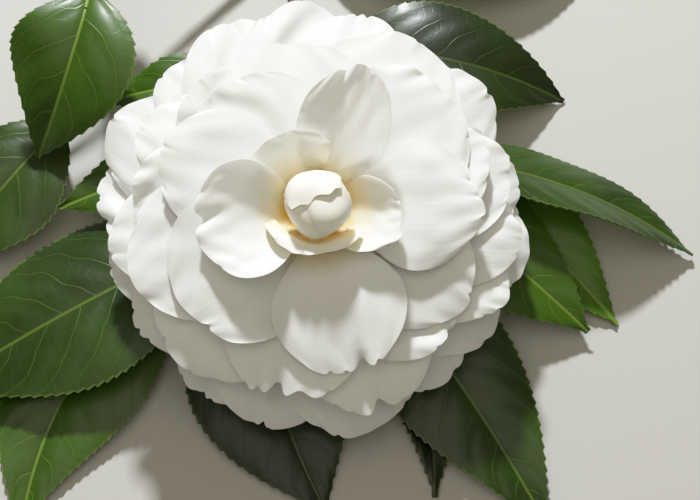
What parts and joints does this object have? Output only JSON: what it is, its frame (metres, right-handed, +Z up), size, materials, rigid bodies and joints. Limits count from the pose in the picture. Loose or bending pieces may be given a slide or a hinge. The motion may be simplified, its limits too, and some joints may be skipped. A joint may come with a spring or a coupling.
{
  "type": "cut camellia branch with one bloom",
  "caption": "Cut camellia branch lying down, with one large white formal double bloom facing up and glossy toothed leaves spread round it.",
  "frame": {"origin": "middle of the branch's outline seen from above, on the plane that it lies on", "axes": "+Z up, the way the bloom faces; +Y along the main twig towards its cut end; +X to the right as the picture shows the bloom"},
  "size_m": [0.2056, 0.2237, 0.0666],
  "materials": {
    "petal": "soft matt white",
    "heart_petal": "soft matt cream white",
    "leaf": "glossy dark green",
    "sepal": "satin yellow-green",
    "bark": "dull brown bark"
  },
  "bodies": {
    "root": {"bloom_bud": "heart_petal", "petals_heart": "heart_petal", "petals_inner": "petal", "petals_fifth": "petal", "petals_fourth": "petal", "petals_third": "petal", "petals_second": "petal", "petals_outermost": "petal", "calyx": "sepal", "twig_wood": "bark", "leaf_far_left": "leaf", "leaf_upper_left": "leaf", "leaf_middle_left": "leaf", "leaf_large_left": "leaf", "leaf_lower_left": "leaf", "leaf_behind_left": "leaf", "leaf_small_left": "leaf", "leaf_bottom": "leaf", "leaf_large_right": "leaf", "leaf_small_bottom": "leaf", "leaf_right": "leaf", "leaf_behind_right": "leaf", "leaf_long_right": "leaf", "leaf_upper_right": "leaf", "leaf_far_right": "leaf"}
  },
  "joints": []
}
